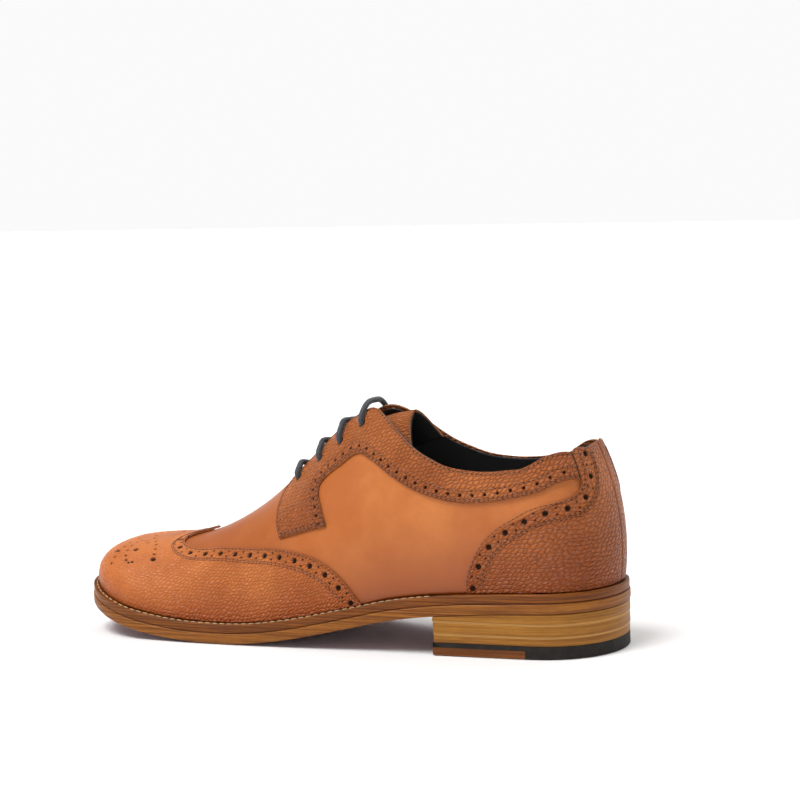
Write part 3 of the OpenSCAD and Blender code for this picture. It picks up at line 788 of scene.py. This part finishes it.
def woven_lace(name):
    """Waxed round lace; the braid itself is in the mesh, and painted shade darkens the grooves between its
    strands.
    """
    f = Finish(name, 0.62, Sheen_Weight=0.3, Sheen_Roughness=0.4)
    braid = f.attribute("braid")
    # painted shade in the braid's grooves
    colour = f.mix(f.span(braid, 0.0, 0.8), (0.004, 0.0045, 0.006), (0.034, 0.038, 0.046))
    f.paint(colour)
    f.raise_by(f.noise(3500, 2), 0.00008, 0.5)
    return f.material


def metal(name, colour, roughness):
    f = Finish(name, roughness, Metallic=1.0)
    f.paint(f.mix(f.noise(300, 3), scaled(colour, 0.8), colour))
    return f.material


TAN_LIGHT, TAN_DARK = (0.57, 0.184, 0.042), (0.42, 0.112, 0.019)
GRAIN_LIGHT, GRAIN_DARK = (0.50, 0.146, 0.032), (0.31, 0.074, 0.012)
# painted highlight: lighter tones of the pebbled leather for the toe cap
LIT_TOE_LIGHT, LIT_TOE_DARK = (0.62, 0.192, 0.044), (0.42, 0.104, 0.018)
M = {
    "smooth": smooth_leather("smooth_tan_leather", TAN_LIGHT, TAN_DARK),
    "grain": pebbled_leather("pebbled_tan_leather", GRAIN_LIGHT, GRAIN_DARK),
    # painted highlight: a lit copy of the pebbled leather for the toe cap
    "lit_toe_grain": pebbled_leather("lit_toe_tan_leather", LIT_TOE_LIGHT, LIT_TOE_DARK, 0.0021, 0.0008, 0.5,
                                 (-0.125, -0.05, 0.35, 1.0)),
    "cut": cut_edge("cut_leather_edge", (0.42, 0.19, 0.075), (0.26, 0.10, 0.04)),
    "lining": plain_leather("black_lining_leather", (0.007, 0.006, 0.006), (0.003, 0.003, 0.003), 0.7),
    "sole_bottom": plain_leather("burgundy_sole_leather", (0.17, 0.012, 0.022), (0.11, 0.007, 0.014), 0.32),
    "sole_edge": stacked_edge("sole_edge_leather", (0.36, 0.130, 0.018), (0.15, 0.042, 0.006)),
    "welt": stacked_edge("welt_leather", (0.26, 0.076, 0.008), (0.10, 0.026, 0.004)),
    "heel": stacked_edge("heel_stack_leather", (0.40, 0.172, 0.024), (0.22, 0.080, 0.010),
                         joints=LIFT_LEVELS[1:]),
    "heel_top": plain_leather("heel_lift_face", (0.40, 0.20, 0.08), (0.30, 0.14, 0.05), 0.6),
    "insert": stacked_edge("insert_leather", (0.22, 0.066, 0.012), (0.12, 0.034, 0.006)),
    "rubber": rubber("black_rubber"),
    "seam_thread": thread("tan_seam_thread", (0.34, 0.105, 0.034), (0.18, 0.052, 0.016)),
    # painted shade: dark marks standing for the needle holes
    "stitch_hole_shade": cut_edge("painted_stitch_hole_shade", (0.030, 0.010, 0.005), (0.012, 0.004, 0.002)),
    "welt_thread": thread("cream_welt_thread", (0.62, 0.44, 0.24), (0.36, 0.22, 0.10)),
    "lace": woven_lace("waxed_dark_lace"),
    "board": cut_edge("stiffener_board", (0.60, 0.52, 0.38), (0.5, 0.42, 0.3)),
    "insole": plain_leather("insole_leather", (0.52, 0.34, 0.18), (0.42, 0.26, 0.13), 0.6),
    "cork": cut_edge("cork_filler", (0.42, 0.25, 0.11), (0.22, 0.12, 0.05)),
    "steel": metal("shank_steel", (0.5, 0.5, 0.52), 0.35),
    "brass": metal("brass_nails", (0.62, 0.44, 0.18), 0.35),
}


# ---------------- upper
def sided(line, side):
    return list(line) if side < 0 else mirrored(line)


SIDES = (("lateral", -1), ("medial", 1))
seam_runs = []


def keep_stitches(sheet, edge, insets):
    """Remembers a row of stitches at each distance inside an edge."""
    for inset in insets:
        points, normals = sheet.line_at(edge, inset)
        seam_runs.append((points, normals))
        sheet.groove(points)


def paced(points, first, last):
    """Places along a line whose spacing changes evenly from the first to the last."""
    d = run_length(points)
    t, spots = first, []
    while t < d[-1] - ROW_END_MARGIN:
        spots.append(t)
        t += first + (last - first) * t / d[-1]
    return at_lengths(spots, d, points)


def beside(points, normals, shift):
    """The same line moved sideways over the leather."""
    ahead = np.gradient(points, axis=0)
    across = np.cross(normals, ahead)
    return points + shift * across / np.linalg.norm(across, axis=1, keepdims=True)


def picked(points, at):
    """Points of a line at fractional indices along it."""
    return at_lengths(at, np.arange(len(points)), points)


def brogue_row(sheet, points, normals, pitch, pinhole, skip=0.0):
    """Round holes along a line, none within skip of its middle, with two pinholes between neighbours."""
    d = run_length(points)
    halves = 2 * int(round(d[-1] / pitch))
    spots = np.linspace(0, d[-1], halves + 1)
    at = np.interp(spots, d, np.arange(len(points)))
    kept = np.abs(spots - d[-1] / 2) >= skip
    sheet.punch(picked(points, at[::2][kept[::2]]), BROGUE_HOLE)
    for shift in (-PINHOLE_SHIFT, PINHOLE_SHIFT):
        sheet.punch(picked(beside(points, normals, shift), at[1::2][kept[1::2]]), pinhole, 0.5)


def make_vamp():
    sheet = Sheet(joined(VAMP_OUTER), joined(VAMP_INNER), 440, 70, *MIDDLE)
    sheet.build("vamp", "smooth", ["smooth", "cut"], "smooth_leather")


def on_cover(places):
    """Points on the outer face of the cover leather at chart places."""
    return over_foot(places, np.full(len(places), COVER[1]))


def medallion():
    """Chart places of the toe medallion's large and small holes, alike on both sides."""
    large, small = [(276, 0), (259, 0)], [(264 + 3 * k, 0) for k in range(4)]
    arch = even_line([(265.5, -3.8), (261.6, -12.5), (259, -20.5)], 5)
    front = even_line([(270, -7.5), (272, -14.5), (275, -27)], 5)
    for side in (-1, 1):
        large += [(266.6, 17.6 * side), (258, 23.6 * side), (274.5, 18.5 * side)]
        small += [(p[0], -side * p[1]) for p in arch] + [(p[0], -side * p[1]) for p in front]
        for k in range(10):
            turn = math.radians(250 - 27 * k)
            small.append((266.5 - 3.1 * math.cos(turn + 1.1), side * (18 + 8.5 * math.sin(turn + 1.1))))
    return large, small


def make_wing_cap():
    low = feather(section_at(128), 2 * SECTIONS - section_at(128), 22)
    sheet = Sheet(low, joined(WING_EDGE), 900, 200, *COVER)
    brogue_row(sheet, *sheet.line_at("high", 4.4), 10.4, 0.6, skip=13.0)
    large, small = medallion()
    sheet.punch(on_cover(large), BROGUE_HOLE)
    sheet.punch(on_cover(small), MEDALLION_HOLE, 0.6)
    keep_stitches(sheet, "high", (1.1, 7.7, 8.9))
    sheet.build("wing_cap", "grained", ["lit_toe_grain", "cut"], "grained_leather")


def make_facing(name, side):
    sheet = Sheet(sided(COLLAR_OUTER, side), sided(COLLAR_INNER, side), 560, 60, *COVER, flip=side > 0)
    points, _ = sheet.line_at("low", 4.2)
    sheet.punch(paced(points, *FACING_PITCH), FACING_HOLE)
    keep_stitches(sheet, "low", (1.0, 2.1, 6.6))
    keep_stitches(sheet, "high", (1.6,))
    keep_stitches(sheet, "end", (1.1, 2.4))
    tack = even_line(sided(BAR_TACK, side), 60)
    seam_runs.append((on_cover(tack), foot_normal(tack)))
    sheet.punch(on_cover(sided(EYELETS, side)), EYELET_R, EYELET_DEPTH)
    sheet.build("facing_" + name, "grained", ["grain", "cut"], "grained_leather")


def make_counter(name, side):
    low = heel_feather(69, 10, side)
    sheet = Sheet(low, sided(COUNTER_EDGE, side), 300, 120, *COVER, flip=side > 0)
    row = even_line(sided(COUNTER_ROW, side), 200)
    points, normals = on_cover(row), foot_normal(row)
    brogue_row(sheet, points, normals, 11.2, 0.55)
    for shift in COUNTER_STITCHES:
        line = beside(points, normals, shift * -side)
        seam_runs.append((line, normals))
        sheet.groove(line)
    sheet.build("counter_" + name, "grained", ["grain", "cut"], "grained_leather")


def make_linings():
    low = feather(section_at(151), 2 * SECTIONS - section_at(151), 20)
    sheet = Sheet(low, joined(LINING_SPLIT), 200, 40, *LINING)
    sheet.build("vamp_lining", "black", ["lining"], "lining_leather")
    tail = [(146, -6), (159, -5.8), (171, -6), (180, -8.6), (184, -14)]
    for name, side in SIDES:
        low = heel_feather(149, 24, side)
        high = [COUNTER_EDGE[0]] + TOPLINE[1:] + tail
        sheet = Sheet(low, sided(high, side), 320, 60, *LINING, flip=side > 0)
        sheet.build("quarter_lining_" + name, "black", ["lining"] * 2, "lining_leather")


def make_tongue():
    low, high = TONGUE_HALF, mirrored(TONGUE_HALF)[:-1] + [TONGUE_MEDIAL_CORNER]
    for name, top, thick, materials, slot in (("outer", 0.0, 1.25, ["grain", "cut"], "grained_leather"),
                                              ("lining", 1.6, 0.8, ["lining"] * 2, "lining_leather")):
        out = [d - top for d in TONGUE_DROP]
        sheet = Sheet(low, high, 120, 90, [d - thick for d in out], out, True, TONGUE_CROWN)
        sheet.build("tongue_" + name, "leather", materials, slot, "tongue")


# ---------------- lace
BAR_SHOULDER = 6.1
BAR_MIDDLE = [5.0, 1.6, 1.4, 1.2]
FRONT_TAIL = [(208, -28, -3), (199, -24, -3), (190, -19, -3), (182.5, -14.5, -2.6)]
REAR_TAIL = [(138, -18, -2.6), (140, -25, -3), (143, -32, -3), (147, -39, -3)]
LACE_R, LACE_END, BRAID_DEPTH = 1.6, 1.5, 0.12
UNDER_FACING = -2.6


def lace_bar(i, start):
    """One bar over eyelet pair i from the side start (-1 lateral, 1 medial)."""
    s, y = EYELETS[i][0], -EYELETS[i][1]
    h, m = BAR_SHOULDER, BAR_MIDDLE[i]
    q = m + (h - m) / 4 + 0.5
    shape = [(1, -1.4), (1, 1.4), (1, 4.2), (0.9, h - 0.3), (0.7, h), (0.5, h), (0.28, q), (0, m),
             (-0.28, q), (-0.5, h), (-0.7, h), (-0.9, h - 0.3), (-1, 4.2), (-1, 1.4), (-1, -1.4)]
    return [(s, y * a * start, b) for a, b in shape]


def lace_hop(i, side):
    """Under the facing of one side, from eyelet i to the next one back."""
    a, b = EYELETS[i], EYELETS[i - 1]
    return [(a[0] + (b[0] - a[0]) * t, -(a[1] + (b[1] - a[1]) * t) * side, UNDER_FACING)
            for t in (0.2, 0.5, 0.8)]


def make_lace():
    route = np.array(FRONT_TAIL + lace_bar(3, -1) + lace_hop(3, 1) + lace_bar(2, 1) + lace_hop(2, -1)
                     + lace_bar(1, -1) + lace_hop(1, 1) + lace_bar(0, 1) + REAR_TAIL, float)
    knots = over_foot(route[:, :2], route[:, 2])
    path = resample(smooth_line(knots, LINE_STEPS * (len(knots) - 1)), 0.42 / DETAIL)
    ahead = np.gradient(path, axis=0)
    ahead /= np.linalg.norm(ahead, axis=1, keepdims=True)
    across = [np.array([0.3, 0.5, 1.0])]
    for t in ahead:
        v = across[-1] - (across[-1] @ t) * t
        across.append(v / np.linalg.norm(v))
    across = np.array(across[1:])
    third = np.cross(ahead, across)
    sides, strands, lay = 24, 6, 0.72  # points round the lace, strands each way, half turns in a mm
    twist = lay * math.pi * run_length(path)[:, None]
    angle = 2 * math.pi * np.arange(sides) / sides
    length = run_length(path)
    braid = np.maximum(np.cos(strands * angle[None] + twist), np.cos(strands * angle[None] - twist))
    radius = LACE_R - BRAID_DEPTH + BRAID_DEPTH * braid
    ends = np.minimum(length, length[-1] - length)
    radius *= np.sqrt(np.clip(ends / LACE_END, 0.02, 1))[:, None]
    points = (path[:, None] + radius[..., None] * (across[:, None] * np.cos(angle)[None, :, None]
                                                   + third[:, None] * np.sin(angle)[None, :, None]))
    last = (len(path) - 1) * sides
    faces = ring_quads(len(path) - 1, sides)[:, [0, 3, 2, 1]].tolist()
    faces += [list(range(sides))[::-1], list(range(last, last + sides))]
    obj = mesh_piece("lace_braided", points.reshape(-1, 3), faces, [M["lace"]],
                     {"braid": (braid * 0.5 + 0.5).ravel()})
    finish_piece(obj, "shoe", "lace_cotton", "lace")
    print("lace length mm", round(float(length[-1]), 1))


# ---------------- sole and heel
def level(z):
    """Heights of a flat face, as a function of a shift from it."""
    return lambda shift: lambda s: np.full_like(s, z + shift)


def sloped(offset):
    """The same for a face that follows the outsole's underside."""
    return lambda shift: lambda s: underside_z(s) + (offset + shift)


def rounded(inset, low, high, r, centre=6.0):
    """Profile of a layer with rounded edges, from its underside to its top."""
    bend = [(1.0, 0.0), (0.55, 0.11), (0.2, 0.42), (0.0, 1.0)]
    under = [(inset + r * a, low(r * b)) for a, b in bend]
    over = [(inset + r * a, high(-r * b)) for a, b in bend[::-1]]
    return [(inset + centre, low(0.0))] + [(inset + r + 0.4, low(0.0))] + under + over + \
        [(inset + r + 0.4, high(0.0)), (inset + centre, high(0.0))]


def sole_layer(name, inset, low, high, r, side, face, top, slot, node, last=None):
    profile = rounded(inset, low, high, r)
    bands = [1, 1] + [0] * (len(profile) - 5) + [2, 2] + [1, 2]
    obj = layer(name, profile, [M[side], M[face], M[top]], bands, last)
    finish_piece(obj, "shoe", slot, node)


def make_sole():
    sole_layer("outsole_leather", 0.0, sloped(0.0), sloped(OUTSOLE_T), 0.9,
               "sole_edge", "sole_bottom", "heel_top", "sole_leather", "outsole")
    low, high = sloped(OUTSOLE_T + 0.1), sloped(OUTSOLE_T + 0.2 + WELT_T)
    profile = [(7.2, low(0)), (1.2, low(0)), (0.75, low(0.1)), (0.45, low(0.5)), (0.4, low(1.0)),
               (0.4, high(-0.9)), (0.5, high(-0.35)), (0.9, high(-0.05)), (1.4, high(0)), (7.2, high(0))]
    obj = rim("welt_leather", profile, M["welt"])
    finish_piece(obj, "shoe", "welt_leather", "welt")


def make_heel():
    z1, z2, z3 = LIFT_LEVELS
    for number, inset, low, high in ((1, 0.8, level(z1 + 0.05), level(z2)),
                                     (2, 0.6, level(z2 + 0.05), level(z3)),
                                     (3, 0.4, level(z3 + 0.05), sloped(-0.05))):
        node = "heel_lift_%d" % number
        sole_layer(node + "_leather", inset, low, high, 0.35, "heel", "heel_top", "heel_top",
                   "heel_leather", node, HEEL_LENGTH)


def make_welt_stitches():
    u = np.linspace(section_at(88), 2 * SECTIONS - section_at(88), 900)
    s, y = edge_point(u, WELT_STITCH_INSET)
    points = place(s, y, underside_z(s) + SOLE_T - 0.15)
    normals = np.tile([0.0, 0.0, 1.0], (len(points), 1))
    obj = stitches("welt_stitches_cream", [(points, normals)], M["welt_thread"], "shoe", "welt_thread",
                   pitch=4.2, length=3.5, radius=0.42)
    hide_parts("welt_stitches")


def dress_frame_nodes():
    """Gives the CAD nodes that stay in view their materials."""
    for key, nodes in (("insole", "insole insole_rib"), ("cork", "cork_filler"), ("steel", "shank"),
                       ("brass", "heel_nails"), ("lining", "sock_lining"), ("rubber", "top_lift_rubber"),
                       ("board", "toe_puff heel_stiffener eyelet_stay_lateral eyelet_stay_medial"),
                       ("insert", "top_lift_leather")):
        for node in nodes.split():
            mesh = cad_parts[node].data
            mesh.materials.clear()
            mesh.materials.append(M[key])


# ---------------- stage, light and camera
HORIZON_LIGHT, SKY_LIGHT = 0.96, 0.3
HORIZON_BAND = (0.16, 0.4)
FLOOR_HALF, FLOOR_Z = 4.0, -0.0004
SENSOR_WIDTH = 36.0


def make_stage():
    f = Finish("studio_floor", 0.8)
    f.paint(f.mix(f.noise(3, 2), (0.93, 0.93, 0.93), (0.95, 0.95, 0.95)))
    corners = [(x * FLOOR_HALF, y * FLOOR_HALF, FLOOR_Z) for x, y in ((-1, -1), (1, -1), (1, 1), (-1, 1))]
    floor = mesh_piece("studio_floor", np.array(corners) / MM, [(0, 1, 2, 3)], [f.material])
    world = bpy.data.worlds.new("studio")
    bpy.context.scene.world = world
    world.use_nodes = True
    tree = world.node_tree
    across = add_node(tree, "ShaderNodeTexCoord").outputs["Generated"]
    height = add_node(tree, "ShaderNodeSeparateXYZ", {0: across}).outputs["Z"]
    glow = add_node(tree, "ShaderNodeMapRange", {"Value": height, "From Min": HORIZON_BAND[0],
                                                 "From Max": HORIZON_BAND[1], "To Min": HORIZON_LIGHT,
                                                 "To Max": SKY_LIGHT}).outputs[0]
    background = tree.nodes["Background"]
    background.inputs[0].default_value = (1.0, 1.0, 1.0, 1.0)
    tree.links.new(glow, background.inputs[1])
    bpy.context.scene.view_settings.view_transform = "Standard"


def add_lamp(kind, name, location, target, power, **settings):
    """A lamp that looks from its location to the target."""
    data = bpy.data.lights.new(name, kind)
    data.energy = power
    for key, value in settings.items():
        setattr(data, key, value)
    lamp = bpy.data.objects.new(name, data)
    bpy.context.scene.collection.objects.link(lamp)
    lamp.location = location
    lamp.rotation_euler = (Vector(target) - Vector(location)).to_track_quat("-Z", "Y").to_euler()


CAMERA_AZIMUTH, CAMERA_ELEVATION, CAMERA_ROLL = 27.15, 6.65, 2.27
CAMERA_DISTANCE, CAMERA_LENS = 1.3255, 114.4
CAMERA_AIM = Vector((0.0274, 0.003, 0.1235))


def make_camera():
    a, e = math.radians(CAMERA_AZIMUTH), math.radians(CAMERA_ELEVATION)
    back = Vector((math.sin(a) * math.cos(e), -math.cos(a) * math.cos(e), math.sin(e)))
    right = Vector((math.cos(a), math.sin(a), 0.0))
    up = back.cross(right)
    turn = Matrix((right, up, back)).transposed().to_4x4()
    data = bpy.data.cameras.new("camera")
    data.lens = CAMERA_LENS
    data.sensor_width = SENSOR_WIDTH
    camera = bpy.data.objects.new("camera", data)
    bpy.context.scene.collection.objects.link(camera)
    roll = Matrix.Rotation(math.radians(-CAMERA_ROLL), 4, "Z")
    camera.matrix_world = Matrix.Translation(CAMERA_AIM + back * CAMERA_DISTANCE) @ turn @ roll
    bpy.context.scene.camera = camera


make_camera()
make_vamp()
make_wing_cap()
for side_name, side_sign in SIDES:
    make_facing(side_name, side_sign)
    make_counter(side_name, side_sign)
make_linings()
make_tongue()
stitches("seam_stitches_tan", seam_runs, M["seam_thread"], "shoe", "grained_leather")
# dark marks of painted shade at the needle holes between the stitches
stitches("seam_stitch_hole_shade", seam_runs, M["stitch_hole_shade"], "shoe", "grained_leather", length=0.8, radius=0.3,
         sink=0.12, shift=0.0)
make_lace()
make_sole()
make_heel()
make_welt_stitches()
dress_frame_nodes()
make_stage()
add_lamp("SUN", "key_sun", (-0.45, -0.62, 1.75), (0, 0, 0), 2.35, angle=math.radians(28))
add_lamp("SUN", "back_sun", (0.2, 1.0, 1.3), (0, 0, 0), 1.35, angle=math.radians(40))
add_lamp("AREA", "softbox", (-0.7, -0.9, 1.3), (-0.05, 0, 0.06), 5.0, shape="RECTANGLE", size=0.8, size_y=0.4)

bpy.context.view_layer.update()
